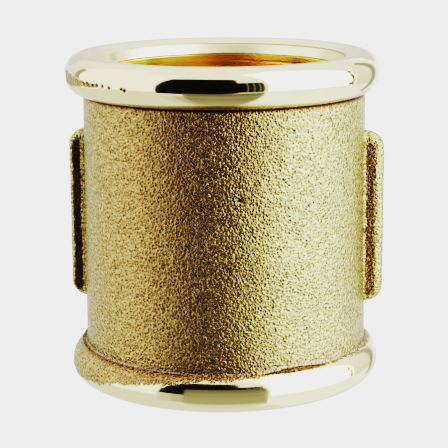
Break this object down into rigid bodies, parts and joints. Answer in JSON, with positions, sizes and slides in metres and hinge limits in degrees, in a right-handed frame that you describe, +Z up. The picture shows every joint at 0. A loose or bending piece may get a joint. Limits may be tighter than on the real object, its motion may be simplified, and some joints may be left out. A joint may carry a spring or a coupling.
{
  "type": "pipe coupling",
  "caption": "Cast brass coupling that joins two pipes: parallel pipe thread from each end, rounded turned beads and side ribs.",
  "frame": {"origin": "on the bore axis at the lower end face, which the coupling stands on", "axes": "+Z up along the bore axis from the lower to the upper mouth; +X through the right rib, -X through the left rib"},
  "size_m": [0.0282, 0.0276, 0.029],
  "materials": {
    "cast_brass": "matte",
    "turned_brass": "polished",
    "thread_brass": "satin"
  },
  "bodies": {
    "root": {"barrel_wall": "cast_brass", "left_rib": "cast_brass", "right_rib": "cast_brass", "top_bead": "turned_brass", "bottom_bead": "turned_brass", "top_thread": "thread_brass", "bottom_thread": "thread_brass", "centre_band": "cast_brass"}
  },
  "joints": []
}
